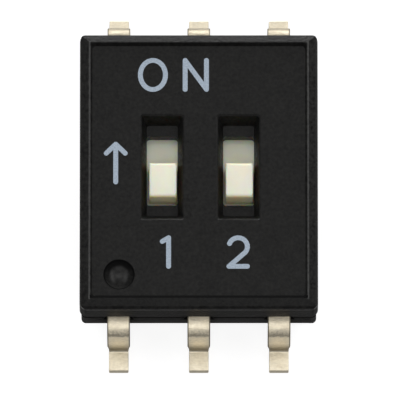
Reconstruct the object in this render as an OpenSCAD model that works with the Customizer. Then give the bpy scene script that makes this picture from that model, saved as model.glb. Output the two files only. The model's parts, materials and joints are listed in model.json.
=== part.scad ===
// Two-way slide DIP switch in a surface-mount body with six gull-wing leads.
// +X runs across the switches, +Y points to their ON end and +Z points away from the board.
// The origin is on the board, under the middle of the body, and the feet stand on Z = 0.

/* [Body] */
// Width of the cover across the switches
cover_w = 7.54; // [7.3:0.02:8.4]
// Length of the cover from its OFF end to its ON end
cover_l = 9.05; // [8.65:0.05:10]
// Height of the cover from the parting line to the crest of its rim
cover_h = 1.09; // [1.05:0.01:1.3]
// Height of the base from its underside to the parting line
base_h = 1.97; // [1.9:0.01:2.4]
// Gap between the board and the underside of the base
standoff = 0.15; // [0.05:0.01:0.3]
// How far the sides of the base lie inside those of the cover
base_inset = 0.052; // [0.02:0.002:0.12]
// How far the ends of the base lie inside those of the cover
end_inset = 0.02; // [0:0.002:0.06]
// Radius of the upright corners of the cover
cover_corner_r = 0.24; // [0.1:0.02:0.4]
// Radius of the upright corners of the base
base_corner_r = 0.15; // [0.1:0.05:0.4]
// Thickness of the side walls of the cover
skirt_t = 0.5; // [0.4:0.05:0.6]
// Thickness of the top of the cover between its panel and the sliders
roof_t = 0.88; // [0.82:0.01:0.94]
// Height of the groove that the parting line leaves round the body
parting_gap = 0.18; // [0.05:0.01:0.2]
// Depth of the groove at the parting line
parting_depth = 0.06; // [0.04:0.01:0.2]

/* [Rim and panel] */
// Width of the whole rim round the panel
rim_w = 0.4; // [0.34:0.01:0.5]
// Width of the level crest of the rim
crest_w = 0.03; // [0.02:0.005:0.05]
// How far the inner face of the rim leans back on the way up
rim_lean = 0.07; // [0.03:0.01:0.1]
// Drop of the bevel from the crest to the side wall
bevel_drop = 0.19; // [0.12:0.01:0.25]
// Radius of the edge between the bevel and the side wall
edge_r = 0.2; // [0.04:0.01:0.25]
// Depth of the panel below the crest
panel_step = 0.08; // [0.05:0.01:0.12]
// Radius of the corners of the panel
panel_corner_r = 0.15; // [0.08:0.01:0.3]
// Diameter of the dimple that marks the first lead
dimple_d = 1; // [0.6:0.05:1.2]
// Depth of the dimple at its middle
dimple_depth = 0.22; // [0.14:0.01:0.3]
// Width of the steep edge of the dimple
dimple_edge = 0.06; // [0.04:0.01:0.1]
// Depth of that edge, where the bowl of the dimple begins
dimple_wall = 0.07; // [0.04:0.01:0.1]
// Distance of the dimple from the left edge of the cover
dimple_from_side = 1.25; // [1.1:0.05:1.6]
// Distance of the dimple from the OFF end of the cover
dimple_from_end = 1.11; // [1:0.05:1.6]

/* [Slots] */
// Distance between the two switches
slot_pitch = 2.42; // [2.3:0.02:2.54]
// How far the pair of slots lies to the right of the middle
slots_right = 0.05; // [0:0.005:0.1]
// How far the sliders stand to the right of the middle of their slots
sliders_right = 0.024; // [0:0.002:0.03]
// How far the slots lie from the middle towards the ON end
slots_ahead = 0.12; // [0:0.02:0.3]
// Width of the slot that the knob passes through
slot_w = 0.98; // [0.95:0.01:1.1]
// Length of the slot that the knob passes through
slot_l = 2.28; // [2.2:0.02:2.5]
// Radius of the corners of the slot
slot_corner_r = 0.09; // [0.04:0.01:0.2]
// Width of the mouth of the funnel above the slot
funnel_w = 1.34; // [1.24:0.02:1.5]
// Length of the mouth of the funnel above the slot
funnel_l = 3.42; // [3:0.02:3.6]
// How far the end walls of the funnel lean out on the way up
funnel_lean = 0.22; // [0.1:0.01:0.3]
// Depth of the funnel below the panel
funnel_depth = 0.46; // [0.4:0.01:0.56]
// Radius of the corners of the funnel
funnel_corner_r = 0.08; // [0.04:0.01:0.12]
// Width of the chamfer round the mouth of the funnel
mouth_chamfer = 0.03; // [0.01:0.005:0.06]

/* [Sliders] */
// Width of a knob
knob_w = 0.864; // [0.7:0.002:0.88]
// Length of a knob along its travel
knob_l = 1.12; // [0.9:0.02:1.2]
// How far the top of a knob lies below the panel
knob_below = 0.08; // [0:0.01:0.2]
// Radius of the end edges of a knob
knob_end_r = 0.1; // [0.04:0.01:0.2]
// Radius of the side edges of a knob
knob_side_r = 0.05; // [0.02:0.01:0.1]
// Travel of a slider from OFF to ON
travel = 0.78; // [0.5:0.02:0.8]
// Width of the plate under a knob
plate_w = 1.5; // [1.4:0.02:1.6]
// Length of the plate under a knob
plate_l = 3.3; // [3.1:0.02:3.5]
// Thickness of the plate under a knob
plate_t = 0.22; // [0.15:0.01:0.3]
// Width of the two rails that a slider runs on
rail_w = 0.2; // [0.15:0.01:0.24]
// Running clearance round a slider
run_gap = 0.03; // [0.02:0.005:0.05]
// Diameter of the peg that holds the contact
peg_d = 0.34; // [0.25:0.01:0.4]
// Diameter of the upset head of that peg
peg_head_d = 0.5; // [0.45:0.01:0.6]
// Height of the upset head of that peg
peg_head_h = 0.07; // [0.04:0.01:0.1]

/* [Contacts] */
// Thickness of the contact spring
spring_t = 0.08; // [0.06:0.01:0.12]
// Width of the contact spring
spring_w = 0.98; // [0.9:0.02:1.02]
// Width of one finger of the contact spring
finger_w = 0.38; // [0.3:0.01:0.42]
// Inside radius of the turn at the end of the spring
turn_r = 0.12; // [0.08:0.01:0.18]
// Distance from the middle of the spring to that turn
turn_reach = 0.8; // [0.7:0.05:1]
// Outside radius of the rounded tip that wipes the pads
tip_r = 0.16; // [0.12:0.01:0.22]
// Clearance between the tip and the pads
tip_gap = 0.02; // [0.01:0.005:0.04]

/* [Leads] */
// Distance between neighbouring leads
lead_pitch = 2.54; // [2.5:0.01:2.6]
// Length over the tips of the feet
span = 11.57; // [11.3:0.01:12.4]
// Thickness of the lead strip
lead_t = 0.3; // [0.2:0.01:0.32]
// Width of a lead at its shoulder
shoulder_w = 0.72; // [0.66:0.01:0.9]
// Width of a foot
foot_w = 0.62; // [0.5:0.01:0.66]
// Distance from the outer face of the leg to the tip of the foot
foot_reach = 0.68; // [0.5:0.02:0.8]
// Radius of the outer bend at the shoulder
shoulder_r = 0.46; // [0.36:0.01:0.5]
// Inside radius of the bend above the foot
heel_r = 0.11; // [0.06:0.01:0.25]
// Height above the foot at which a lead reaches its full width
taper_h = 0.35; // [0.15:0.05:0.5]
// How far the top of a lead lies above the parting line
lead_rise = 0.03; // [0.01:0.01:0.15]
// Clearance between a lead and the notch in the body
lead_gap = 0.03; // [0.02:0.01:0.1]
// Chamfer of the upright edges at the mouth of that notch
notch_chamfer = 0.1; // [0.04:0.01:0.12]
// Depth of the relief behind a lead in the end of the base
relief_depth = 0.2; // [0.1:0.01:0.3]
// Height of the relief below the lead
relief_h = 0.1; // [0.05:0.01:0.3]
// Inside radius of the bends that a lead makes within the base
inner_r = 0.1; // [0.05:0.01:0.15]
// Distance of those bends from the end of the base
inner_step = 0.75; // [0.65:0.05:0.9]
// Width of a pad under the slider
pad_w = 0.42; // [0.36:0.01:0.44]
// Distance between the pad row and the common bar of one switch
pad_pitch = 0.58; // [0.56:0.01:0.64]
// Gap between the OFF pad and the ON pad
pad_break = 0.3; // [0.2:0.02:0.34]
// Width of the arms that join the leads to their pads
arm_w = 0.5; // [0.4:0.02:0.6]
// How far the common bar runs past the middle of the switch
bar_past = 1.2; // [0.8:0.1:1.6]

/* [Base] */
// Thickness of the floor under the sliders
floor_t = 0.97; // [0.92:0.01:1.05]
// Height of the visible lip of the base above its underside
lip_above = 1.15; // [1:0.01:1.3]
// How far the plinth lies inside the lip at the ends
plinth_end_inset = 0.45; // [0.3:0.05:0.6]
// How far the plinth lies inside the lip at the sides
plinth_side_inset = 0.25; // [0.15:0.05:0.4]
// Chamfer round the underside of the plinth
plinth_chamfer = 0.12; // [0.05:0.01:0.2]
// Clearance between the spigot of the base and the cover
spigot_gap = 0.03; // [0.02:0.01:0.05]
// Diameter of the pegs that hold the cover
stake_d = 0.6; // [0.5:0.02:0.7]
// Length of the pegs that hold the cover
stake_l = 0.75; // [0.5:0.05:0.8]
// Clearance of those pegs in their holes
stake_gap = 0.02; // [0.01:0.005:0.04]
// Distance of those pegs from the middle of the body, across the switches
stake_x = 1.27; // [1.2:0.01:1.34]
// Distance of those pegs from the middle of the body, along the switches
stake_y = 3.3; // [3:0.05:3.4]
// Diameter of the moulding recess in the underside
gate_d = 1.4; // [1:0.1:2]
// Depth of the moulding recess in the underside
gate_depth = 0.08; // [0.04:0.01:0.12]

/* [Hidden] */
$fn = 48;
eps = 0.01;
black = [0.14, 0.14, 0.15];
ivory = [0.91, 0.89, 0.81];
tinned = [0.86, 0.82, 0.72];
bronze = [0.80, 0.62, 0.34];

// Heights above the board
lip_z = standoff + lip_above;
floor_z = standoff + floor_t;
parting_z = standoff + base_h;
crest_z = parting_z + cover_h;
panel_z = crest_z - panel_step;
roof_z = panel_z - roof_t;
funnel_z = panel_z - funnel_depth;
plate_z = roof_z - run_gap;
knob_z = panel_z - knob_below;
lead_z = parting_z + lead_rise;
spring_z = plate_z - plate_t;

// Plan sizes that follow from the driving ones
base_w = cover_w - 2 * base_inset;
base_l = cover_l - 2 * end_inset;
panel_w = cover_w - 2 * rim_w;
panel_l = cover_l - 2 * rim_w;
cavity_w = cover_w - 2 * skirt_t;
cavity_l = cover_l - 2 * skirt_t;
funnel_floor_l = funnel_l - 2 * funnel_lean;
channel_w = plate_w + 2 * run_gap;
channel_l = plate_l + travel + 2 * run_gap;
leg_y = span / 2 - foot_reach;
notch_w = shoulder_w + 2 * lead_gap;
inner_y = base_l / 2 - inner_step;
arm_y = inner_y - lead_t - 2 * inner_r;

// Middle of slot i and of the slider in it, where i is 0 or 1
function slot_x(i) = slots_right + (i - 0.5) * slot_pitch;
function switch_x(i) = slot_x(i) + sliders_right;

// Side of a switch on which its throw pads lie: outwards from the middle
function outer_side(i) = i == 0 ? -1 : 1;

// ---------------------------------------------------------------- helpers

// A rectangle with true round corners, about the origin
module round_rect(w, l, r) {
    square([w - 2 * r, l], center = true);
    square([w, l - 2 * r], center = true);
    for (sx = [-1, 1], sy = [-1, 1])
        translate([sx * (w / 2 - r), sy * (l / 2 - r)])
            circle(r);
}

// A profile drawn in X and Z, pushed along Y to the length l, about the origin
module along_y(l) {
    translate([0, l / 2, 0])
        rotate([90, 0, 0])
            linear_extrude(l)
                children();
}

// A profile drawn in Y and Z, pushed along X to the width w, about the origin
module along_x(w) {
    rotate([0, 0, 90])
        along_y(w)
            children();
}

// A block whose four sides lean out by draft on the way up, with mitred corners
module mitred_block(w, l, h, draft) {
    over = 2 * (draft + eps);
    intersection() {
        along_y(l + over)
            drafted_side(w, h, draft);
        along_x(w + over)
            drafted_side(l, h, draft);
    }
}

module drafted_side(w, h, draft) {
    polygon([[-w / 2, 0], [w / 2, 0], [w / 2 + draft, h], [-w / 2 - draft, h]]);
}

// A pocket from a rounded floor w by l up to a rounded mouth top_w by top_l, open above
module pocket(w, l, top_w, top_l, h, r) {
    hull() {
        linear_extrude(eps)
            round_rect(w, l, r, $fn = 32);
        translate([0, 0, h])
            linear_extrude(eps)
                round_rect(top_w, top_l, r, $fn = 32);
    }
}

// Part of a ring of strip between two angles, about the origin
module strip_bend(inside_r, t, from, to) {
    reach = 2 * (inside_r + t);
    intersection() {
        difference() {
            circle(inside_r + t);
            circle(inside_r);
        }
        polygon([[0, 0], for (k = [0:3]) reach * [cos(from + (to - from) * k / 3), sin(from + (to - from) * k / 3)]]);
    }
}

// ------------------------------------------------------------------ cover

// One half of the cover's cross-section, from its middle to a side wall
module rim_half_section(half) {
    run = rim_w - rim_lean - crest_w;
    slope = atan(bevel_drop / run);
    tangent = edge_r / tan(45 + slope / 2);
    corner_z = crest_z - bevel_drop;
    polygon([
        [0, parting_z],
        [half, parting_z],
        [half, corner_z - tangent],
        [half - edge_r, corner_z - tangent],
        [half - tangent * cos(slope), corner_z + tangent * sin(slope)],
        [half - run, crest_z],
        [0, crest_z]
    ]);
    translate([half - edge_r, corner_z - tangent])
        circle(edge_r);
}

module rim_section(width) {
    rim_half_section(width / 2);
    mirror([1, 0, 0])
        rim_half_section(width / 2);
}

// The cover's outside before anything is cut from it
module cover_blank() {
    intersection() {
        translate([0, 0, parting_z])
            linear_extrude(cover_h)
                round_rect(cover_w, cover_l, cover_corner_r);
        along_y(cover_l + 2 * eps)
            rim_section(cover_w);
        along_x(cover_w + 2 * eps)
            rim_section(cover_l);
    }
}

// The sunk panel inside the rim, whose inner face leans back
module panel_cut() {
    translate([0, 0, panel_z])
        pocket(panel_w, panel_l, panel_w + 2 * rim_lean, panel_l + 2 * rim_lean, panel_step, panel_corner_r);
}

// The round mark beside the first lead: a bowl with a steep edge
module dimple_cut() {
    r = dimple_d / 2;
    bowl_rim_r = r - dimple_edge;
    bowl_h = dimple_depth - dimple_wall;
    bowl_r = (bowl_rim_r * bowl_rim_r + bowl_h * bowl_h) / (2 * bowl_h);
    translate([dimple_from_side - cover_w / 2, dimple_from_end - cover_l / 2, panel_z]) {
        cylinder(r = r, h = eps);
        translate([0, 0, -dimple_wall])
            cylinder(r1 = bowl_rim_r, r2 = r, h = dimple_wall);
        intersection() {
            translate([0, 0, -2 * dimple_depth])
                cylinder(r = r, h = 2 * dimple_depth - dimple_wall);
            translate([0, 0, bowl_r - dimple_depth])
                sphere(bowl_r, $fn = 160);
        }
    }
}

// The funnel and the slot that one knob shows through
module slot_cut() {
    translate([0, 0, funnel_z])
        pocket(slot_w, funnel_floor_l, funnel_w, funnel_l, funnel_depth, funnel_corner_r);
    translate([0, 0, panel_z - mouth_chamfer])
        pocket(
            funnel_w, funnel_l,
            funnel_w + 2 * mouth_chamfer, funnel_l + 2 * mouth_chamfer,
            mouth_chamfer, funnel_corner_r
        );
    translate([0, 0, roof_z - eps])
        linear_extrude(funnel_z - roof_z + 2 * eps)
            round_rect(slot_w, slot_l, slot_corner_r);
}

// The space inside the skirt, over the spigot of the base
module skirt_cavity() {
    translate([0, 0, parting_z - eps])
        linear_extrude(roof_z - parting_z + eps)
            square([cavity_w, cavity_l], center = true);
}

// The notches in the foot of the skirt that clear the leads
module skirt_notches() {
    for (i = [-1:1])
        translate([i * lead_pitch - notch_w / 2, -cover_l / 2 - eps, parting_z - eps])
            cube([notch_w, cover_l + 2 * eps, lead_rise + eps]);
}

module at_stakes() {
    for (sx = [-1, 1], sy = [-1, 1])
        translate([sx * stake_x, sy * stake_y, 0])
            children();
}

module cover() {
    color(black) {
        difference() {
            cover_blank();
            panel_cut();
            dimple_cut();
            for (i = [0, 1])
                translate([slot_x(i), slots_ahead, 0])
                    slot_cut();
            skirt_cavity();
            skirt_notches();
        }
        at_stakes()
            translate([0, 0, roof_z - stake_l])
                cylinder(d = stake_d, h = stake_l + eps);
    }
}

// -------------------------------------------------------------- terminals

// The strip of a lead seen from the side, from its inner bend to the tip of the foot
module gull_wing_side() {
    tip_y = span / 2;
    shoulder_in = shoulder_r - lead_t;
    translate([inner_y, lead_z - lead_t])
        square([leg_y - shoulder_r - inner_y, lead_t]);
    translate([leg_y - shoulder_r, lead_z - shoulder_r])
        strip_bend(shoulder_in, lead_t, 0, 90);
    translate([leg_y - lead_t, lead_t + heel_r])
        square([lead_t, lead_z - shoulder_r - lead_t - heel_r]);
    translate([leg_y + heel_r, lead_t + heel_r])
        strip_bend(heel_r, lead_t, 180, 270);
    translate([leg_y + heel_r, 0])
        square([tip_y - leg_y - heel_r, lead_t]);
}

// The same lead seen from its end: a wide shoulder above a narrower foot
module gull_wing_front() {
    waist_low = lead_t;
    waist_high = lead_t + taper_h;
    polygon([
        [-foot_w / 2, 0], [foot_w / 2, 0], [foot_w / 2, waist_low],
        [shoulder_w / 2, waist_high], [shoulder_w / 2, lead_z],
        [-shoulder_w / 2, lead_z], [-shoulder_w / 2, waist_high],
        [-foot_w / 2, waist_low]
    ]);
}

// The step inside the base, from the straight of the lead down to its arm
module inner_step_side() {
    outer_r = inner_r + lead_t;
    translate([inner_y, lead_z - outer_r])
        strip_bend(inner_r, lead_t, 90, 180);
    translate([inner_y - outer_r, floor_z + inner_r])
        square([lead_t, lead_z - outer_r - floor_z - inner_r]);
    translate([inner_y - outer_r - inner_r, floor_z + inner_r])
        strip_bend(inner_r, lead_t, 270, 360);
}

// A whole lead at the ON end, as far as its arm
module lead() {
    intersection() {
        along_x(shoulder_w) {
            gull_wing_side();
            inner_step_side();
        }
        translate([0, span / 2, 0])
            along_y(span)
                gull_wing_front();
    }
}

// The flat end of a terminal: an arm across to the pad row, then the pad along the channel
module arm_and_pad(x, pad_x, pad_end) {
    left = min(x - shoulder_w / 2, pad_x - pad_w / 2);
    right = max(x + shoulder_w / 2, pad_x + pad_w / 2);
    translate([0, 0, floor_z - lead_t])
        linear_extrude(lead_t) {
            translate([left, arm_y - arm_w])
                square([right - left, arm_w]);
            translate([pad_x - pad_w / 2, pad_end])
                square([pad_w, arm_y - pad_end]);
        }
}

// Terminal at column c (-1, 0 or 1) of the end toward dir (1 = ON, -1 = OFF)
module terminal(c, dir, i, is_common) {
    side = is_common ? -outer_side(i) : outer_side(i);
    pad_x = switch_x(i) + side * pad_pitch / 2;
    pad_end = is_common
        ? dir * slots_ahead - bar_past
        : dir * slots_ahead + pad_break / 2;
    color(tinned)
        mirror([0, dir < 0 ? 1 : 0, 0]) {
            translate([c * lead_pitch, 0, 0])
                lead();
            arm_and_pad(c * lead_pitch, pad_x, pad_end);
        }
}

// The leads count round the body from the dimple, as they are numbered on a circuit
module terminal_1() terminal(-1, -1, 0, false);
module terminal_2() terminal(0, -1, 0, true);
module terminal_3() terminal(1, -1, 1, false);
module terminal_4() terminal(1, 1, 1, false);
module terminal_5() terminal(0, 1, 1, true);
module terminal_6() terminal(-1, 1, 0, false);

module all_terminals() {
    terminal_1();
    terminal_2();
    terminal_3();
    terminal_4();
    terminal_5();
    terminal_6();
}

// ------------------------------------------------------------------- base

// The lip and walls that show below the cover, with the groove at their top
module base_walls() {
    translate([0, 0, lip_z])
        linear_extrude(parting_z - parting_gap - lip_z)
            round_rect(base_w, base_l, base_corner_r);
    translate([0, 0, lip_z])
        linear_extrude(parting_z - lip_z)
            square([base_w - 2 * parting_depth, base_l - 2 * parting_depth], center = true);
}

// The spigot that locates the cover
module base_spigot() {
    translate([0, 0, lip_z])
        linear_extrude(roof_z - run_gap - lip_z)
            square([cavity_w - 2 * spigot_gap, cavity_l - 2 * spigot_gap], center = true);
}

// The foot of the base, set in so that it clears the legs of the leads
module base_plinth() {
    w = base_w - 2 * plinth_side_inset;
    l = base_l - 2 * plinth_end_inset;
    translate([0, 0, standoff])
        mitred_block(w - 2 * plinth_chamfer, l - 2 * plinth_chamfer, plinth_chamfer, plinth_chamfer);
    translate([-w / 2, -l / 2, standoff + plinth_chamfer])
        cube([w, l, lip_z - standoff - plinth_chamfer + eps]);
}

// The channel that one slider runs in
module channel_cut() {
    translate([-channel_w / 2, -channel_l / 2, floor_z])
        cube([channel_w, channel_l, crest_z]);
}

// The plan of one relief in an end wall that lies along X, chamfered at its mouth
module relief_plan() {
    near = notch_w / 2;
    wide = near + notch_chamfer;
    polygon([
        [-near, -relief_depth], [near, -relief_depth],
        [near, -notch_chamfer], [wide, 0], [wide, eps],
        [-wide, eps], [-wide, 0], [-near, -notch_chamfer]
    ]);
}

// The reliefs behind the leads in both ends of the base
module lead_reliefs() {
    for (i = [-1:1], end = [0, 1])
        mirror([0, end, 0])
            translate([i * lead_pitch, base_l / 2, lead_z - lead_t - relief_h])
                linear_extrude(relief_h + lead_t + eps)
                    relief_plan();
}

module base() {
    color(black)
        difference() {
            union() {
                base_walls();
                base_spigot();
                base_plinth();
            }
            for (i = [0, 1])
                translate([switch_x(i), slots_ahead, 0])
                    channel_cut();
            lead_reliefs();
            all_terminals();
            at_stakes()
                translate([0, 0, roof_z - stake_l - stake_gap])
                    cylinder(d = stake_d + 2 * stake_gap, h = crest_z);
            translate([0, 0, standoff - eps])
                cylinder(d = gate_d, h = gate_depth + eps);
        }
}

// ---------------------------------------------------------------- sliders

// A bar seen from one side, with its two top corners rounded
module rounded_top(w, low, high, r) {
    translate([-w / 2, low])
        square([w, high - r - low]);
    translate([-w / 2 + r, low])
        square([w - 2 * r, high - low]);
    for (s = [-1, 1])
        translate([s * (w / 2 - r), high - r])
            circle(r);
}

module knob() {
    low = plate_z - plate_t / 2;
    intersection() {
        along_y(knob_l + 2 * eps)
            rounded_top(knob_w, low, knob_z, knob_side_r);
        along_x(knob_w + 2 * eps)
            rounded_top(knob_l, low, knob_z, knob_end_r);
    }
}

// A slider: the knob, its plate, the two rails and the peg for the contact
module slider(i) {
    rail_h = spring_z - floor_z - run_gap;
    color(ivory)
        translate([switch_x(i), slots_ahead - travel / 2, 0]) {
            knob();
            translate([-plate_w / 2, -plate_l / 2, spring_z])
                cube([plate_w, plate_l, plate_t]);
            for (s = [-1, 1])
                translate([s * (plate_w - rail_w) / 2 - rail_w / 2, -plate_l / 2, floor_z + run_gap])
                    cube([rail_w, plate_l, rail_h + eps]);
            at_peg() {
                translate([0, 0, spring_z - spring_t - eps])
                    cylinder(d = peg_d, h = spring_t + 2 * eps);
                translate([0, 0, spring_z - spring_t - peg_head_h])
                    cylinder(d = peg_head_d, h = peg_head_h);
            }
        }
}

// The peg stands half-way between the middle of the spring and its plain end
module at_peg() {
    translate([0, -turn_reach / 2, 0])
        children();
}

module slider_1() slider(0);
module slider_2() slider(1);

// --------------------------------------------------------------- contacts

// One finger seen from the side: a turn under the plate, then a slope down to the wiping tip
module finger_side() {
    turn_z = spring_z - spring_t - turn_r;
    tip_z = floor_z + tip_gap + tip_r;
    drop = turn_z - turn_r - tip_z + tip_r - spring_t;
    slope = atan(drop / turn_reach);
    translate([turn_reach, turn_z])
        strip_bend(turn_r, spring_t, -90 + slope, 90);
    strip_between(
        [turn_reach + (turn_r + spring_t / 2) * sin(slope), turn_z - (turn_r + spring_t / 2) * cos(slope)],
        [(tip_r - spring_t / 2) * sin(slope), tip_z - (tip_r - spring_t / 2) * cos(slope)]
    );
    translate([0, tip_z])
        strip_bend(tip_r - spring_t, spring_t, 180, 270 + slope);
}

// A straight piece of spring between two points on its middle line
module strip_between(a, b) {
    d = b - a;
    translate(a)
        rotate(atan2(d[1], d[0]))
            translate([0, -spring_t / 2])
                square([norm(d), spring_t]);
}

// A contact: a flat with a hole for the peg, and two fingers turned under it
module contact(i) {
    color(bronze)
        translate([switch_x(i), slots_ahead - travel / 2, 0]) {
            difference() {
                translate([-spring_w / 2, -turn_reach, spring_z - spring_t])
                    cube([spring_w, 2 * turn_reach, spring_t]);
                at_peg()
                    translate([0, 0, spring_z - spring_t - eps])
                        cylinder(d = peg_d + eps, h = spring_t + 2 * eps);
            }
            for (s = [-1, 1])
                translate([s * pad_pitch / 2, 0, 0])
                    along_x(finger_w)
                        finger_side();
        }
}

module contact_1() contact(0);
module contact_2() contact(1);

cover();
base();
slider_1();
slider_2();
contact_1();
contact_2();
terminal_1();
terminal_2();
terminal_3();
terminal_4();
terminal_5();
terminal_6();
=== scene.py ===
# %% [markdown]
# # A two-way DIP switch, dressed for its portrait
# The solids of this switch were built elsewhere at their real size: a black cover and base, two
# ivory sliders with their contact springs, and six formed leads. This lesson gives them what
# solids lack: the grain of moulded plastic, the sheen of tinned strip, edges that catch the light
# and the print on the cover. Nothing is moved or resized, because the solids also carry the
# switch's motion.

# %% Load the frame
import json
import math
from functools import reduce

import bmesh
import bpy
from mathutils import Matrix, Vector


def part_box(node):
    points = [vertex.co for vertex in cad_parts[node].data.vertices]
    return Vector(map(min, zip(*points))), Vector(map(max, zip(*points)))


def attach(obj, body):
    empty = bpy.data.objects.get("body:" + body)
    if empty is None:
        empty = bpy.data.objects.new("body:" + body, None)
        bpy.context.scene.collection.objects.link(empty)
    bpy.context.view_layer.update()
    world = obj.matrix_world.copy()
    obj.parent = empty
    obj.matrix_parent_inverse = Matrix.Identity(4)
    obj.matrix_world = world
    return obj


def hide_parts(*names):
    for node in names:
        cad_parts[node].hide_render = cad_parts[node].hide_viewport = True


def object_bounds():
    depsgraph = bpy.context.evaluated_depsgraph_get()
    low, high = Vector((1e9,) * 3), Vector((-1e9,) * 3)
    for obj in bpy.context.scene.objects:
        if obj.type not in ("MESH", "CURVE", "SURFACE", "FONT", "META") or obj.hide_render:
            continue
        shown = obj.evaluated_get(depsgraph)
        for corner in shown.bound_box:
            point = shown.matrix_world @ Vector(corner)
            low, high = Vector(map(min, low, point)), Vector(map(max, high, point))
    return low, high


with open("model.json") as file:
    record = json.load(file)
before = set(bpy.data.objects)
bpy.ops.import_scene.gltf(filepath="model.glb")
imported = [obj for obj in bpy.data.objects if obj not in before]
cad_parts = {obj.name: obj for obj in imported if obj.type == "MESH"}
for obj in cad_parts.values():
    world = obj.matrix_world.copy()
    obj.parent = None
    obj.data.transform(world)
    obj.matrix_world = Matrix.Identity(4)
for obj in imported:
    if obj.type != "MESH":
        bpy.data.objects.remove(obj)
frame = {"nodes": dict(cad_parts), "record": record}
cad_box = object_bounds()
nodes = frame["nodes"]
print("nodes:", ", ".join(sorted(nodes)))

# %% [markdown]
# ## Sizes that everything else hangs on
# A part this small is easiest to think of in millimetres, while Blender's unit is the metre, so
# one short name turns the one into the other. The boxes of the solids then give every height and
# edge that the new pieces need. The flat panel of the cover has a mount on it, and the mount's
# height is the height at which the ink lies.

# %% Name the sizes
mm = 0.001
cover_low, cover_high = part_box("cover")
crest_z = cover_high.z
mounts = {m["name"]: Vector(m["pos_m"]) for m in frame["record"]["mounts"]}
panel_z = mounts["pick_up_face"].z
lead_pitch = mounts["foot_3"].x - mounts["foot_2"].x
terminals = sorted(n for n in nodes if n.startswith("terminal_"))
sliders = sorted(n for n in nodes if n.startswith("slider_"))
contacts = sorted(n for n in nodes if n.startswith("contact_"))
print(f"cover {(cover_high - cover_low) / mm} mm")
print(f"panel at {panel_z / mm:.2f} mm, pitch {lead_pitch / mm:.2f} mm")

# %% [markdown]
# ## Short ways to wire a material
# A material is a little circuit of nodes. Wiring one by hand takes many clicks, and in code many
# lines, so a few helpers do the repeated work. These three make a node with its sockets set,
# start a material with its shader and its object coordinates, and take a point apart. Object
# coordinates are in metres on the piece itself, so a pattern keeps its real size and stays on
# the piece when it moves.

# %% Node helpers
def add_node(tree, kind, **sockets):
    """Adds a node and sets its sockets, by name, or as i0, i1 and so on by their place. A socket
    that is given another socket is linked to it."""
    made = tree.nodes.new(kind)
    for name, value in sockets.items():
        by_place = name[0] == "i" and name[1:].isdigit()
        target = made.inputs[int(name[1:]) if by_place else name.replace("_", " ")]
        if isinstance(value, bpy.types.NodeSocket):
            tree.links.new(value, target)
        else:
            target.default_value = value
    return made


def new_material(name):
    """A material with a Principled BSDF, and the object coordinates that its patterns read."""
    material = bpy.data.materials.new(name)
    material.use_nodes = True
    tree = material.node_tree
    shader = tree.nodes["Principled BSDF"]
    coordinates = tree.nodes.new("ShaderNodeTexCoord").outputs["Object"]
    return material, tree, shader, coordinates


def split_axes(tree, coordinates):
    """The X, Y and Z of a point, each as a socket of its own."""
    return add_node(tree, "ShaderNodeSeparateXYZ", Vector=coordinates).outputs


print("node helpers ready")

# %% [markdown]
# Most of a finish is arithmetic with masks. A mask is a value that is 1 where something applies
# and 0 elsewhere. Two masks multiplied give the place where both apply, and the greater of two
# gives the place where either does. A colour then goes from one to another by such a mask.

# %% Arithmetic helpers
def math_node(tree, operation, a, b=0.0):
    """One step of arithmetic on two values or sockets. Gives the socket of the result."""
    made = add_node(tree, "ShaderNodeMath", i0=a, i1=b)
    made.operation = operation
    return made.outputs[0]


def times(tree, *values):
    """The product of several values or masks."""
    return reduce(lambda a, b: math_node(tree, "MULTIPLY", a, b), values)


def plus(tree, a, b):
    """The sum of two values."""
    return math_node(tree, "ADD", a, b)


def strongest(tree, *masks):
    """The greatest of several masks."""
    return reduce(lambda a, b: math_node(tree, "MAXIMUM", a, b), masks)


def above(tree, value, limit):
    """A mask of where a value is over its limit."""
    return math_node(tree, "GREATER_THAN", value, limit)


def below(tree, value, limit):
    """A mask of where a value is under its limit."""
    return math_node(tree, "LESS_THAN", value, limit)


def ramp(tree, value, at_zero, at_one):
    """Goes smoothly from 0 to 1 between two values, which may fall as well as rise."""
    made = add_node(tree, "ShaderNodeMapRange", Value=value, From_Min=at_zero, From_Max=at_one)
    made.interpolation_type = "SMOOTHSTEP"
    return made.outputs["Result"]


def mix_colours(tree, factor, *colours):
    """Goes from one colour to another with a factor. A colour is three numbers or a socket."""
    mix = add_node(tree, "ShaderNodeMix", Factor=factor)
    mix.data_type = "RGBA"
    sockets = [socket for socket in mix.inputs if socket.type == "RGBA"]
    for target, colour in zip(sockets, colours):
        if isinstance(colour, bpy.types.NodeSocket):
            tree.links.new(colour, target)
        else:
            target.default_value = (*colour, 1)
    return next(socket for socket in mix.outputs if socket.type == "RGBA")


print("arithmetic helpers ready")

# %% [markdown]
# ## One effect that several finishes share: grain
# Spark-eroded moulds leave a fine, even grain on plastic, and rolling leaves a similar but
# stretched one on metal strip. Both are one recipe: a fine noise for the grain, and a broad noise
# for the slow drift of tone over a part. As a node group the recipe is built once, and each
# material places it with its own scales and stretch. It puts out a fine and a broad value.

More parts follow.
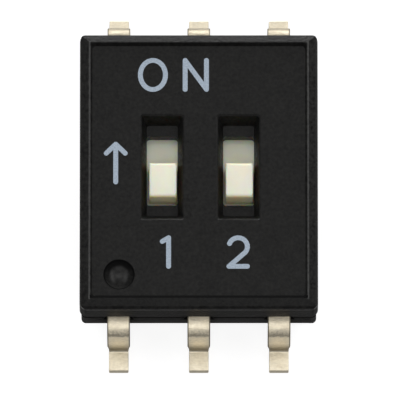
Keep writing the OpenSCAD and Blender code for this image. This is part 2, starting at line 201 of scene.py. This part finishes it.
# %% Build the grain group
def build_grain_group():
    group = bpy.data.node_groups.new("surface_grain", "ShaderNodeTree")
    face = group.interface
    face.new_socket("Vector", in_out="INPUT", socket_type="NodeSocketVector")
    for name in ("Fine Scale", "Broad Scale"):
        face.new_socket(name, in_out="INPUT", socket_type="NodeSocketFloat")
    for name in ("Fine", "Broad"):
        face.new_socket(name, in_out="OUTPUT", socket_type="NodeSocketFloat")
    inside = group.nodes.new("NodeGroupInput").outputs
    outside = group.nodes.new("NodeGroupOutput")
    for name, detail, roughness in (("Fine", 2.0, 0.6), ("Broad", 3.0, 0.5)):
        noise = add_node(group, "ShaderNodeTexNoise", Vector=inside["Vector"],
                         Scale=inside[f"{name} Scale"], Detail=detail, Roughness=roughness)
        spread = add_node(group, "ShaderNodeMapRange", Value=noise.outputs[0],
                          From_Min=0.3, From_Max=0.7)
        group.links.new(spread.outputs["Result"], outside.inputs[name])
    return group


grain_group = build_grain_group()
print("group sockets:", [s.name for s in grain_group.interface.items_tree])

# %% [markdown]
# Two more helpers go with it. One places the group in a material, and the other turns a value
# into relief.

# %% Place the grain
def place_grain(tree, coordinates, fine_scale, broad_scale, stretch=(1, 1, 1)):
    """Puts the grain group in a material. Scales are cells per metre; stretch thins a direction."""
    mapping = add_node(tree, "ShaderNodeMapping", Vector=coordinates, Scale=stretch)
    grain = tree.nodes.new("ShaderNodeGroup")
    grain.node_tree = grain_group
    tree.links.new(mapping.outputs["Vector"], grain.inputs["Vector"])
    grain.inputs["Fine Scale"].default_value = fine_scale
    grain.inputs["Broad Scale"].default_value = broad_scale
    return grain.outputs["Fine"], grain.outputs["Broad"]


def bump(tree, shader, height, depth, strength):
    """Feeds a height to the shader's normal. Depth is that of the real relief in metres."""
    made = add_node(tree, "ShaderNodeBump", Height=height, Distance=depth, Strength=strength)
    tree.links.new(made.outputs["Normal"], shader.inputs["Normal"])


print("grain ready to place")

# %% [markdown]
# ## Black moulded plastic
# The cover and base are a black glass-filled plastic. It isn't pure black: it is a very dark
# neutral grey with a low, broad sheen, and its grain breaks the sheen into tiny points. Four
# places on it differ, and each gets a mask from its position. The crest of the rim is painted
# paler along the two long sides: a painted highlight, where its round catches the side lamps.
# The narrow inner face of the rim is dead matt, because no polishing tool reaches into that
# corner of the mould. The crease at its foot, along the two ends, is painted dark as shade, most
# so at the near end. The side walls carry a coarser, duller skin.

# %% Mask the rim and the walls
crest_glint_depth = 0.012 * mm
crest_glint_from = cover_high.x - 0.34 * mm
rim_inside = 0.322 * mm
crease_y = cover_high.y - 0.42 * mm
far_crease = 0.4
wall_skin = 0.12 * mm
wall_top = crest_z - 0.33 * mm
hair = 0.004 * mm


def rim_masks(tree, place):
    """Masks for the crest's painted highlight, the rim's inner face, the crease and its painted
    shade, and the side walls.
    """
    from_middle = [math_node(tree, "ABSOLUTE", place[axis]) for axis in "XY"]
    sides = list(zip(from_middle, cover_high))
    # Painted highlight: the crest along the two long sides, where its round would catch the side
    # lamps.
    crest = times(tree, above(tree, place["Z"], crest_z - crest_glint_depth),
                  above(tree, from_middle[0], crest_glint_from))
    within = times(tree, *(below(tree, across, side - rim_inside) for across, side in sides))
    inner = times(tree, above(tree, place["Z"], panel_z + hair), within)
    # The crease is matt, and is also painted dark as shade.
    crease = times(tree, above(tree, place["Z"], panel_z - hair), within,
                   above(tree, from_middle[1], crease_y))
    skin = strongest(tree, *(above(tree, across, side - wall_skin) for across, side in sides))
    wall = times(tree, skin, below(tree, place["Z"], wall_top))
    # Painted shade: the crease darkens fully at the near end and less at the far one.
    near_end = times(tree, below(tree, place["Y"], 0.0), 1 - far_crease)
    shade = times(tree, crease, plus(tree, near_end, far_crease))
    return {"crest": crest, "inner": inner, "crease": crease, "wall": wall, "shade": shade}


print(f"rim crest from {crest_glint_from / mm:.2f} mm, walls below {wall_top / mm:.2f} mm")

# %% [markdown]
# The round mark beside the first lead is left by a polished pin of the mould, so there the grain
# fades out. The mask is a ball around the mark, in object coordinates, and the same distance
# gives the rest: the bowl shines most in its middle, its lip is dull, and the steep edge round
# it is matt and painted black as shade. The far part of the lip is black too. That shade is
# painted on, because the lamps that suit the rest of the switch would light it.

# %% Mask the dimple
dimple_from_side, dimple_from_end = 1.25 * mm, 1.11 * mm
dimple = Vector((cover_low.x + dimple_from_side, cover_low.y + dimple_from_end, panel_z))
polished_r, dimple_r, dimple_edge = 0.26 * mm, 0.45 * mm, 0.51 * mm
lip_from, lip_full = 0.29 * mm, 0.38 * mm
shade_from, shade_full = 0.33 * mm, 0.4 * mm
shade_reach = 0.3 * mm
shine_to, shine_full = 0.36 * mm, 0.24 * mm


def dimple_masks(tree, coordinates, place):
    """Masks for the grain outside, the dull lip, the steep edge, the far part's painted shade and
    the shine.
    """
    distance = add_node(tree, "ShaderNodeVectorMath", i0=coordinates, i1=dimple)
    distance.operation = "DISTANCE"
    away = distance.outputs["Value"]
    sunk = times(tree, below(tree, place["Z"], panel_z - hair), below(tree, away, dimple_edge))
    return {
        "grain": ramp(tree, away, polished_r, dimple_r),
        "lip": times(tree, ramp(tree, away, lip_from, lip_full), sunk),
        # The steep edge is matt, and painted black as shade.
        "edge": times(tree, sunk, above(tree, away, dimple_r)),
        "shade": times(tree, ramp(tree, away, shade_from, shade_full), sunk,
                       ramp(tree, place["Y"], dimple.y, dimple.y + shade_reach)),
        "shine": ramp(tree, away, shine_to, shine_full),
    }


print("dimple at", tuple(round(v / mm, 2) for v in dimple), "mm")

# %% [markdown]
# With the masks at hand the plastic itself is short. The grain drives the roughness as well as
# the bump, because real grain does both. Where a mask makes a place matt, the greater roughness
# wins. A thin coat, only in the bowl of the dimple, stands for its polish.

# %% Make the body plastic
black = (0.0, 0.0, 0.0)
bowl_rough, grained_rough, grain_spread = 0.34, 0.28, 0.22


def black_plastic():
    material, tree, shader, coordinates = new_material("black_plastic")
    place = split_axes(tree, coordinates)
    rim, mark = rim_masks(tree, place), dimple_masks(tree, coordinates, place)
    fine, broad = place_grain(tree, coordinates, fine_scale=9000, broad_scale=2500)
    tone = plus(tree, times(tree, fine, 0.8), times(tree, broad, 0.2))
    plain = mix_colours(tree, tone, black, (0.0155, 0.0152, 0.0144))
    # Painted highlight: the crest along the long sides is painted paler, as the glint of its round
    # edge.
    painted_band = mix_colours(tree, tone, (0.03, 0.03, 0.03), (0.07, 0.07, 0.068))
    colour = mix_colours(tree, rim["crest"], plain, painted_band)
    # Painted shade: the crease at the rim's foot, the steep edge of the dimple and the far part of
    # its lip are painted black.
    shade = strongest(tree, rim["shade"], mark["shade"], mark["edge"])
    tree.links.new(mix_colours(tree, shade, colour, black), shader.inputs["Base Color"])
    rougher = plus(tree, times(tree, fine, grain_spread), grained_rough - bowl_rough)
    rough = plus(tree, times(tree, mark["grain"], rougher), bowl_rough)
    matt = ((rim["inner"], 0.95), (rim["crease"], 0.95), (mark["edge"], 0.95),
            (mark["lip"], 0.8), (rim["wall"], 0.65))
    rough = strongest(tree, rough, *(times(tree, mask, value) for mask, value in matt))
    tree.links.new(rough, shader.inputs["Roughness"])
    tree.links.new(times(tree, mark["shine"], 0.3), shader.inputs["Coat Weight"])
    shader.inputs["Coat Roughness"].default_value = bowl_rough
    shader.inputs["Specular IOR Level"].default_value = 0.14
    bump(tree, shader, times(tree, mark["grain"], fine), depth=0.009 * mm, strength=0.7)
    return material


body_plastic = black_plastic()
print("made", body_plastic.name)

# %% [markdown]
# ## Ivory slider plastic
# The sliders are a natural nylon. Light goes a little way in and comes out warmer, which is why
# their shaded faces look brown and not grey. Subsurface scattering does exactly that, with a
# radius of a few tenths of a millimetre. The upright sides of a knob get most of their light
# from within, so between the plate and the knob's top the colour is set deeper: a painted shade.

# %% Make the slider plastic
knob_z = max(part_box(s)[1].z for s in sliders)
knob_rise = 0.83 * mm
plate_z = knob_z - knob_rise
flat_skin = 0.02 * mm


def ivory_plastic():
    material, tree, shader, coordinates = new_material("ivory_plastic")
    fine, broad = place_grain(tree, coordinates, fine_scale=18000, broad_scale=1400)
    level = split_axes(tree, coordinates)["Z"]
    side = times(tree, above(tree, level, plate_z + flat_skin),
                 below(tree, level, knob_z - flat_skin))
    pale = mix_colours(tree, broad, (0.965, 0.865, 0.72), (1.0, 0.91, 0.775))
    # Painted shade: the upright sides of a knob take a deeper, darker ivory.
    side_shade = mix_colours(tree, broad, (0.97, 0.82, 0.50), (1.0, 0.86, 0.56))
    tree.links.new(mix_colours(tree, side, pale, side_shade), shader.inputs["Base Color"])
    tree.links.new(plus(tree, times(tree, fine, 0.12), 0.42), shader.inputs["Roughness"])
    shader.inputs["Subsurface Weight"].default_value = 1.0
    shader.inputs["Subsurface Radius"].default_value = (1.0, 0.65, 0.3)
    shader.inputs["Subsurface Scale"].default_value = 0.22 * mm
    bump(tree, shader, fine, depth=0.003 * mm, strength=0.3)
    return material


slider_plastic = ivory_plastic()
print("made", slider_plastic.name)

# %% [markdown]
# ## Strip metal
# The leads and the springs are copper alloy strip with a thin plating. The plating is soft, so it
# is never a mirror: drawing the strip over the forming tool leaves fine scratches across it and
# faint blotches. Both change the tone a little and the roughness more.

# %% Make a plated strip
def plated_strip(name, dark, light, rough_low, rough_high):
    """A strip metal. It also gives back the parts that a darkened metal is built on."""
    material, tree, shader, coordinates = new_material(name)
    fine, broad = place_grain(tree, coordinates, fine_scale=14000, broad_scale=5200,
                              stretch=(0.5, 1.6, 1.6))
    blotch, drift = place_grain(tree, coordinates, fine_scale=9000, broad_scale=1600)
    tone = plus(tree, times(tree, fine, 0.45), times(tree, blotch, 0.55))
    colour = mix_colours(tree, tone, dark, light)
    tree.links.new(colour, shader.inputs["Base Color"])
    rough = plus(tree, times(tree, broad, rough_high - rough_low), rough_low)
    tree.links.new(rough, shader.inputs["Roughness"])
    shader.inputs["Metallic"].default_value = 1
    bump(tree, shader, plus(tree, fine, drift), depth=0.006 * mm, strength=0.45)
    return material, tree, shader, coordinates, blotch, colour


spring_metal = plated_strip("spring_bronze", dark=(0.62, 0.38, 0.16), light=(0.86, 0.58, 0.28),
                            rough_low=0.18, rough_high=0.36)[0]
print("made", spring_metal.name)

# %% [markdown]
# The leads are bent after plating, and that shows. A dark, ragged band lies where the shoulder
# ends and the straight leg begins: partly a mark of the forming tool, partly a painted dark
# reflection. The leg is painted darker toward the heel as shade, and the tip is darker at its
# cut end. The rolled edges of the shoulder and the far row, most at its shoulders, are painted
# darker as shade.
# All five are masks in object coordinates: a height, a distance from the middle of the switch,
# and a distance from the middle of the nearest lead.

# %% Make the lead metal
rub_from, rub_worst, rub_to = 2.06 * mm, 1.85 * mm, 1.75 * mm
rub_raggedness = 0.1 * mm
heel_z, clean_z = 0.42 * mm, 1.15 * mm
foot_top = 0.31 * mm
cut_y = 5.775 * mm
shoulder_half = 0.322 * mm
wear_and_painted_shade = (0.03, 0.022, 0.01)


def lead_masks(tree, place, blotch):
    """Five masks of where a lead is darker, each as strong as it is dark."""
    # A ragged dark band at the end of the shoulder: partly a forming mark, partly a painted dark
    # reflection.
    ragged = times(tree, math_node(tree, "SUBTRACT", blotch, 0.5), rub_raggedness)
    level = plus(tree, place["Z"], ragged)
    painted_band = times(tree, ramp(tree, level, rub_from, rub_worst),
                   ramp(tree, level, rub_to, rub_worst), 0.55)
    # Painted shade: the leg darkens toward the heel, above the foot.
    heel_shade = times(tree, ramp(tree, place["Z"], clean_z, heel_z), 0.6,
                 above(tree, place["Z"], foot_top))
    cut = times(tree, above(tree, math_node(tree, "ABSOLUTE", place["Y"]), cut_y), 0.3)
    # Painted shade: the rolled edges of each shoulder, away from the lead's middle, are darkened.
    nearest = math_node(tree, "ROUND", math_node(tree, "DIVIDE", place["X"], lead_pitch))
    beside = math_node(tree, "SUBTRACT", place["X"], times(tree, nearest, lead_pitch))
    rolled_edge_shade = times(tree, above(tree, math_node(tree, "ABSOLUTE", beside), shoulder_half), 0.75)
    # Painted shade: the far row is darkened, most at its shoulders.
    far_row_shade = plus(tree, times(tree, ramp(tree, place["Z"], heel_z, clean_z), 0.4), 0.12)
    far = times(tree, above(tree, place["Y"], 0.0), far_row_shade)
    return painted_band, heel_shade, cut, rolled_edge_shade, far


def tinned_strip():
    material, tree, shader, coordinates, blotch, clean = plated_strip(
        "tinned_strip", dark=(0.80, 0.715, 0.55), light=(1.0, 0.915, 0.73),
        rough_low=0.4, rough_high=0.6)
    # The darkened colour is mostly painted shade, and in part a tool mark.
    darkened = strongest(tree, *lead_masks(tree, split_axes(tree, coordinates), blotch))
    tree.links.new(mix_colours(tree, darkened, clean, wear_and_painted_shade), shader.inputs["Base Color"])
    return material


lead_metal = tinned_strip()
print("made", lead_metal.name)

# %% [markdown]
# ## Printing ink
# The letters are pad-printed in a pale grey-blue ink. Such ink is matt, and it lies a few
# thousandths of a millimetre above the plastic. Where it was pressed on the grain it is very
# slightly uneven, so a fine noise dims it here and there.

# %% Make the ink
def printing_ink():
    material, tree, shader, coordinates = new_material("printing_ink")
    fine, broad = place_grain(tree, coordinates, fine_scale=22000, broad_scale=3000)
    colour = mix_colours(tree, fine, (0.30, 0.37, 0.45), (0.46, 0.53, 0.62))
    tree.links.new(colour, shader.inputs["Base Color"])
    tree.links.new(plus(tree, times(tree, broad, 0.2), 0.5), shader.inputs["Roughness"])
    shader.inputs["Specular IOR Level"].default_value = 0.3
    bump(tree, shader, fine, depth=0.003 * mm, strength=0.5)
    return material


ink = printing_ink()
print("made", ink.name)

# %% [markdown]
# ## Dress the springs
# The contact springs are shown as they are, so they only need their material. It goes into the
# slot of the mesh. A slot that belongs to the object would also do, but these meshes aren't
# shared, so the mesh's own slot is the plain choice. The other solids get a copy with softer
# edges in the next step, and its material with it.

# %% Give the springs their metal
for name in contacts:
    nodes[name].data.materials.clear()
    nodes[name].data.materials.append(spring_metal)
print("dressed", ", ".join(contacts))

# %% [markdown]
# ## Broken edges
# No moulded or punched edge is perfectly sharp, and the round of an edge is what catches the
# light along it. The solids' edges are sharp, so each piece that shows is copied, its triangles
# are merged back into whole faces, and its sharp edges are bevelled. Merging first matters: a
# bevel follows edges, and the loose triangles of a solid have far too many. Faces that wrap
# around a hole are cut into convex ones before the bevel, or it would fold them over the hole.
# Inner corners are left alone, for a mould makes those sharp.
# Only the narrow faces of a curve or of a bevel are shaded smooth. The broad flats beside them
# stay flat, so no shading runs out of an edge and over a face that is plane. The normals that
# the solid's own mesh stores no longer fit after a bevel, so they are dropped.

# %% Copy, merge and bevel
same_point = 0.0001 * mm
widest_facet = 0.1 * mm
same_plane = math.radians(1)
one_face = math.radians(0.5)
along_an_axis = 0.9999


def in_a_curve(face, limit):
    """True for a narrow, slanting face that meets a neighbour at a slight angle."""
    square = max(abs(part) for part in face.normal) > along_an_axis
    width = face.calc_area() / max(e.calc_length() for e in face.edges)
    turns = any(same_plane < e.calc_face_angle(0) < limit for e in face.edges)
    return turns and not square and width < widest_facet


def softened_mesh(name, source, offset, segments, shortest, sharper_than):
    """A copy of a mesh with its sharp edges rounded. Edges under `shortest` stay as they are."""
    mesh = bmesh.new()
    mesh.from_mesh(source)
    bmesh.ops.remove_doubles(mesh, verts=mesh.verts, dist=same_point)
    bmesh.ops.dissolve_limit(mesh, angle_limit=one_face, verts=mesh.verts, edges=mesh.edges)
    bmesh.ops.connect_verts_concave(mesh, faces=mesh.faces)
    limit = math.radians(sharper_than)
    edges = [e for e in mesh.edges
             if e.is_convex and e.calc_face_angle(0) > limit and e.calc_length() > shortest]
    bmesh.ops.bevel(mesh, geom=edges, offset=offset, segments=segments, profile=0.5,
                    affect="EDGES", material=-1, clamp_overlap=False, miter_outer="ARC")
    bmesh.ops.remove_doubles(mesh, verts=mesh.verts, dist=same_point)
    for face in mesh.faces:
        face.smooth = in_a_curve(face, limit)
    data = bpy.data.meshes.new(name)
    mesh.to_mesh(data)
    mesh.free()
    stored = data.attributes.get("custom_normal")
    if stored:
        data.attributes.remove(stored)
    data.set_sharp_from_angle(angle=limit)
    return data


print("edges ready to soften")

# %% [markdown]
# Each softened copy rides on the body of the solid that it stands for, and hides it. How far an
# edge is rounded follows from how the piece is made: the cover comes from a crisp mould, while
# stamping rolls the edges of the leads. On the cover and base the shortest edges, round the
# small cut-outs, stay sharp, for there a bevel would have no room.

# %% Stand in for the solids
def add_piece(name, data, material):
    """Puts a mesh in the scene as an object with one material."""
    data.materials.append(material)
    piece = bpy.data.objects.new(name, data)
    bpy.context.scene.collection.objects.link(piece)
    return piece


def stand_for(node, name, material, body, offset, segments=3, shortest=0.0, sharper_than=35):
    """Puts a softened copy in the place of a solid, on the same body."""
    data = softened_mesh(name, nodes[node].data, offset, segments, shortest, sharper_than)
    piece = add_piece(name, data, material)
    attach(piece, body)
    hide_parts(node)
    print(name, len(data.polygons), "faces")


stand_for("cover", "cover_shell", body_plastic, "housing",
          offset=0.014 * mm, shortest=0.3 * mm, sharper_than=25)
stand_for("base", "base_block", body_plastic, "housing",
          offset=0.02 * mm, segments=2, shortest=0.3 * mm)
for k, node in enumerate(sliders, 1):
    stand_for(node, f"sliding_knob_{k}", slider_plastic, f"switch_{k}", offset=0.02 * mm)
for k, node in enumerate(terminals, 1):
    stand_for(node, f"lead_{k}", lead_metal, "housing", offset=0.03 * mm)

# %% [markdown]
# ## The print
# The print says ON at the end to which the sliders are pushed, and numbers the switches. Every
# stroke has the same width and round ends, as a pen on a template draws it, so the letters are
# drawn the same way. A pen starts as one edge across the stroke: extruding the edge draws a
# straight line, and spinning it about a centre draws an arc. Half a disc closes each end.

# %% A pen that draws flat strokes
stroke_w = 0.155 * mm
half_stroke = stroke_w / 2
ink_t = 0.006 * mm
arc_steps = 12
upright = Vector((0, 0, 1))


def toward(heading):
    """A step of length 1 on the panel. The heading is in degrees from +X."""
    return Vector((math.cos(math.radians(heading)), math.sin(math.radians(heading))))


def start_stroke(mesh, point, heading):
    """Puts down an edge across the stroke at a point."""
    ahead = toward(heading)
    across = Vector((-ahead.y, ahead.x, 0)) * half_stroke
    ends = [mesh.verts.new(point.to_3d() + side) for side in (-across, across)]
    return mesh.edges.new(ends)


def draw_line(mesh, edge, heading, length):
    """Extrudes the pen's edge straight ahead and gives the new edge."""
    drawn = bmesh.ops.extrude_edge_only(mesh, edges=[edge])["geom"]
    moved = [v for v in drawn if isinstance(v, bmesh.types.BMVert)]
    bmesh.ops.translate(mesh, vec=toward(heading).to_3d() * length, verts=moved)
    return next(e for e in drawn if isinstance(e, bmesh.types.BMEdge))


def spin(mesh, edge, centre, turn):
    """Spins an edge about an upright axis by a turn in degrees and gives the new edge."""
    drawn = bmesh.ops.spin(mesh, geom=[edge, *edge.verts], cent=centre, axis=upright,
                           angle=math.radians(turn), steps=arc_steps, use_duplicate=False)
    return next(e for e in drawn["geom_last"] if isinstance(e, bmesh.types.BMEdge))


def round_end(mesh, edge, turn):
    """Closes a stroke with half a disc: half of the edge is spun about its middle."""
    middle = (edge.verts[0].co + edge.verts[1].co) / 2
    corner = mesh.verts.new(edge.verts[0].co)
    spin(mesh, mesh.edges.new([mesh.verts.new(middle), corner]), middle, turn)


print(f"stroke {stroke_w / mm} mm wide")

# %% [markdown]
# A stroke is a list of moves for the pen, from a point and in a heading. When both its ends are
# round, the faces in its plane are merged into one.

# %% Draw one stroke from a list of moves
same_ink_point = 0.0005 * mm


def stroke(start, heading, moves):
    """A flat stroke. A move is (length,) straight ahead, or (radius, turn) for an arc."""
    mesh = bmesh.new()
    point = Vector(start)
    first = edge = start_stroke(mesh, point, heading)
    for move in moves:
        if len(move) == 1:
            edge = draw_line(mesh, edge, heading, move[0])
            point = point + move[0] * toward(heading)
        else:
            radius, turn = move
            centre = point + math.copysign(1, turn) * radius * toward(heading + 90)
            edge = spin(mesh, edge, centre.to_3d(), turn)
            point = centre + Matrix.Rotation(math.radians(turn), 2) @ (point - centre)
            heading += turn
    round_end(mesh, first, -180)
    round_end(mesh, edge, 180)
    bmesh.ops.remove_doubles(mesh, verts=mesh.verts, dist=same_ink_point)
    bmesh.ops.dissolve_limit(mesh, angle_limit=same_plane, verts=mesh.verts, edges=mesh.edges)
    bmesh.ops.recalc_face_normals(mesh, faces=mesh.faces)
    return mesh


def line(a, b):
    """A straight stroke between the centres of its two round ends."""
    way = Vector(b) - Vector(a)
    return stroke(a, math.degrees(math.atan2(way.y, way.x)), [(way.length,)])


print("strokes ready")

# %% [markdown]
# A glyph is a few strokes. Each is finished as a thin solid of its own, and a Boolean union then
# melts them into one clean outline, so that no two faces lie in the same place. Extruding gives
# the new parts in an order that can change from run to run. Sorting them along one slanting
# direction makes every run the same.

# %% Melt strokes into a glyph
sorting_way = Vector((1.0, 0.618, 0.271))


def thicken(mesh):
    """Turns a flat outline into a closed plate of the ink's thickness, standing on Z = 0."""
    flat = list(mesh.faces)
    raised = bmesh.ops.extrude_face_region(mesh, geom=flat, use_keep_orig=True)["geom"]
    moved = [v for v in raised if isinstance(v, bmesh.types.BMVert)]
    bmesh.ops.translate(mesh, vec=upright * ink_t, verts=moved)
    mesh.verts.sort(key=lambda v: v.co.dot(sorting_way))
    mesh.edges.sort(key=lambda e: (e.verts[0].co + e.verts[1].co).dot(sorting_way))
    mesh.faces.sort(key=lambda f: f.calc_center_median().dot(sorting_way))
    bmesh.ops.recalc_face_normals(mesh, faces=mesh.faces)
    return mesh


def glyph(name, strokes):
    """Unites thickened strokes into one printed character that lies on the panel."""
    parts = []
    for k, flat in enumerate(strokes):
        data = bpy.data.meshes.new(f"{name}_{k}")
        thicken(flat).to_mesh(data)
        flat.free()
        parts.append(bpy.data.objects.new(f"{name}_{k}", data))
        bpy.context.scene.collection.objects.link(parts[-1])
    whole = parts[0]
    for part in parts[1:]:
        join = whole.modifiers.new("join", "BOOLEAN")
        join.operation = "UNION"
        join.solver = "EXACT"
        join.object = part
    bpy.context.view_layer.update()
    joined = whole.evaluated_get(bpy.context.evaluated_depsgraph_get())
    data = bpy.data.meshes.new_from_object(joined)
    for part in parts:
        bpy.data.objects.remove(part)
    data.transform(Matrix.Translation((0, 0, panel_z)))
    data.materials.clear()
    piece = add_piece(name, data, ink)
    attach(piece, "housing")
    print(name, len(data.polygons), "faces")


print("glyphs ready")

# %% [markdown]
# ### ON
# The O is a wide oval, and the pen draws round arcs only. So two circles are scaled to ovals, one
# a stroke's width inside the other, and the ring between them is filled. The N is three straight
# strokes that share their ends.

# %% Print ON
letter_low, letter_top = 2.6 * mm, 3.715 * mm
o_left, o_right = -1.93 * mm, -0.98 * mm
n_left, n_right = -0.51 * mm + half_stroke, 0.32 * mm - half_stroke
n_low, n_top = letter_low + half_stroke, letter_top - half_stroke


def oval(left, right, low, high):
    """A ring between two ovals, made by scaling two circles and bridging them."""
    mesh = bmesh.new()
    centre = Vector(((left + right) / 2, (low + high) / 2, 0))
    for inset in (0, stroke_w):
        made = bmesh.ops.create_circle(mesh, cap_ends=False, radius=1, segments=64)["verts"]
        size = Vector(((right - left) / 2 - inset, (high - low) / 2 - inset, 1))
        bmesh.ops.scale(mesh, vec=size, verts=made)
        bmesh.ops.translate(mesh, vec=centre, verts=made)
    bmesh.ops.bridge_loops(mesh, edges=list(mesh.edges))
    bmesh.ops.recalc_face_normals(mesh, faces=mesh.faces)
    return mesh


glyph("print_O", [oval(o_left, o_right, letter_low, letter_top)])
n_points = [(n_left, n_low), (n_left, n_top), (n_right, n_low), (n_right, n_top)]
glyph("print_N", [line(a, b) for a, b in zip(n_points, n_points[1:])])

# %% [markdown]
# ### The numbers
# The 1 is an upright with a short flag. The 2 is an arc over the top, a line that slants down
# from its end to the left, and a flat foot.

# %% Print the numbers
digit_low, digit_top = -3.225 * mm, -2.13 * mm
pen_low, pen_top = digit_low + half_stroke, digit_top - half_stroke
one_x, one_flag = -0.955 * mm, 0.2 * mm
two_left, two_right = 0.875 * mm, 1.615 * mm
arc_from, arc_to = 160, -38

glyph("print_1", [
    line((one_x, pen_low), (one_x, pen_top)),
    line((one_x, pen_top), (one_x - one_flag, digit_top - one_flag)),
])

two_r = (two_right - two_left - stroke_w) / 2
two_centre = Vector(((two_left + two_right) / 2, pen_top - two_r))
arc_start, arc_end = (two_centre + two_r * toward(angle) for angle in (arc_from, arc_to))
foot_left, foot_right = (two_left + half_stroke, pen_low), (two_right - half_stroke, pen_low)
glyph("print_2", [
    stroke(arc_start, arc_from - 90, [(two_r, arc_to - arc_from)]),
    line(arc_end, foot_left),
    line(foot_left, foot_right),
])

# %% [markdown]
# ### The direction mark
# Beside the switches stands a plain arrow that points to ON. It is three strokes.

# %% Print the arrow
arrow_x = -2.63 * mm
arrow_low, arrow_top = -0.45 * mm + half_stroke, 0.95 * mm - half_stroke
arrow_wing = 0.3 * mm
tip = (arrow_x, arrow_top)
glyph("print_arrow", [
    line((arrow_x, arrow_low), tip),
    line(tip, (arrow_x - arrow_wing, arrow_top - arrow_wing)),
    line(tip, (arrow_x + arrow_wing, arrow_top - arrow_wing)),
])

# %% [markdown]
# ## The floor
# The switch lies on a plain white sheet. The sheet is a real surface that takes the shadow of the
# leads, and it also glows a little toward the camera and in reflections, so that it reads as
# white paper without pouring more light onto the part. A Light Path node tells how a ray came
# there, and the sky behind everything is set the same way further on.

# %% Lay the floor
floor_size = 3.0
glow = 0.86
glow_mirrored = 0.25


def backdrop_level(tree, seen, mirrored):
    """The brightness of a backdrop: one level where it is seen, another in reflections."""
    path = tree.nodes.new("ShaderNodeLightPath").outputs
    direct = strongest(tree, path["Is Camera Ray"], path["Is Transmission Ray"])
    return strongest(tree, times(tree, direct, seen), times(tree, path["Is Glossy Ray"], mirrored))


def white_floor():
    material, tree, shader, coordinates = new_material("white_sheet")
    fine, broad = place_grain(tree, coordinates, fine_scale=2500, broad_scale=120)
    colour = mix_colours(tree, broad, (0.28, 0.28, 0.28), (0.31, 0.31, 0.31))
    tree.links.new(colour, shader.inputs["Base Color"])
    tree.links.new(plus(tree, times(tree, fine, 0.1), 0.8), shader.inputs["Roughness"])
    shader.inputs["Specular IOR Level"].default_value = 0.2
    shader.inputs["Emission Color"].default_value = (1, 1, 1, 1)
    level = backdrop_level(tree, glow, glow_mirrored)
    tree.links.new(level, shader.inputs["Emission Strength"])
    return material


mesh = bmesh.new()
bmesh.ops.create_grid(mesh, x_segments=1, y_segments=1, size=floor_size / 2)
data = bpy.data.meshes.new("floor")
mesh.to_mesh(data)
mesh.free()
data.transform(Matrix.Translation((0, 0, cad_box[0].z)))
sheet = add_piece("floor", data, white_floor())
print("floor laid at", round(cad_box[0].z / mm, 3), "mm")

# %% [markdown]
# ## The light
# Small parts are lit with a tent: soft panels all round at the same distance, each with its own
# brightness. This one has seven. One hangs over the switch, and a large one leans in from the
# front. Long narrow ones stand at the left and right, two of them high up and two near the floor,
# and draw out the rim and the walls. The last is low behind the switch. It is the brightest,
# because it alone draws the far bevel of the cover.
# A panel's brightness is what a mirror would show of it, so it doesn't change with its size.

# %% Set up the soft boxes
tent_radius = 0.65
panels = [
    # name, degrees off the vertical, degrees round from +X, long side, short side, brightness
    ("top_panel", 13, 90, 0.30, 0.28, 1.9),
    ("far_low", 81, 90, 0.80, 0.15, 9.0),
    ("near_high", 35, 270, 0.56, 0.40, 1.4),
    ("right_high", 41, 23, 0.76, 0.16, 3.5),
    ("left_high", 40, 156, 0.76, 0.16, 3.0),
    ("right_low", 81, 0, 0.70, 0.14, 2.4),
    ("left_low", 81, 180, 0.70, 0.14, 1.0),
]


def soft_box(name, tilt, turn, long_side, short_side, brightness):
    """An area light on the tent that faces the switch. Its long side runs along Y if the light
    stands at the left or right, and along X otherwise."""
    tilt, turn = math.radians(tilt), math.radians(turn)
    way = Vector((math.sin(tilt) * math.cos(turn), math.sin(tilt) * math.sin(turn), math.cos(tilt)))
    edge = Vector((0, 1, 0)) if abs(way.x) > abs(way.y) else Vector((1, 0, 0))
    edge = (edge - edge.project(way)).normalized()
    light = bpy.data.lights.new(name, "AREA")
    light.shape = "RECTANGLE"
    light.size, light.size_y = long_side, short_side
    light.energy = brightness * math.pi * long_side * short_side
    lamp = bpy.data.objects.new(name, light)
    lamp.location = way * tent_radius
    lamp.rotation_euler = Matrix((edge, way.cross(edge), way)).transposed().to_euler()
    bpy.context.scene.collection.objects.link(lamp)


for panel in panels:
    soft_box(*panel)

# %% [markdown]
# Behind the panels is the cloth of the tent, which is the world's background. It is white where
# the camera sees it, weaker in reflections, and lends the rest of the scene only a faint light.

# %% Hang the cloth of the tent
ambient = 0.08
sky_mirrored = 0.25

world = bpy.data.worlds.new("tent")
bpy.context.scene.world = world
world.use_nodes = True
sky = world.node_tree
backdrop = sky.nodes["Background"]
backdrop.inputs["Color"].default_value = (1, 1, 1, 1)
level = strongest(sky, backdrop_level(sky, 1.0, sky_mirrored), ambient)
sky.links.new(level, backdrop.inputs["Strength"])
print("background nodes:", len(sky.nodes))

# %% [markdown]
# ## The camera
# The view is from in front, well above: 16 degrees off the vertical, through a long lens, so the
# far end looks as wide as the near one.

# %% Place the camera
view_tilt = math.radians(16)
view_distance = 0.54
view_width = 12.67 * mm
aim = Vector((0.038 * mm, -0.776 * mm, 2.467 * mm))

lens = bpy.data.cameras.new("camera")
camera = bpy.data.objects.new("camera", lens)
bpy.context.scene.collection.objects.link(camera)
bpy.context.scene.camera = camera
from_aim = Vector((0, -math.sin(view_tilt), math.cos(view_tilt)))
camera.location = aim + from_aim * view_distance
camera.rotation_euler = (view_tilt, 0, 0)
lens.lens = lens.sensor_width * view_distance / view_width
lens.clip_start, lens.clip_end = 0.01, 2.0
bpy.context.scene.view_settings.view_transform = "Standard"
print(f"lens {lens.lens:.0f} mm")

# %% [markdown]
# ## The size
# The dressed switch must fill the same box as its solids, so the solids' box is printed here.

# %% Print the solids' box
print("solid box", [tuple(round(v / mm, 3) for v in c) for c in cad_box])
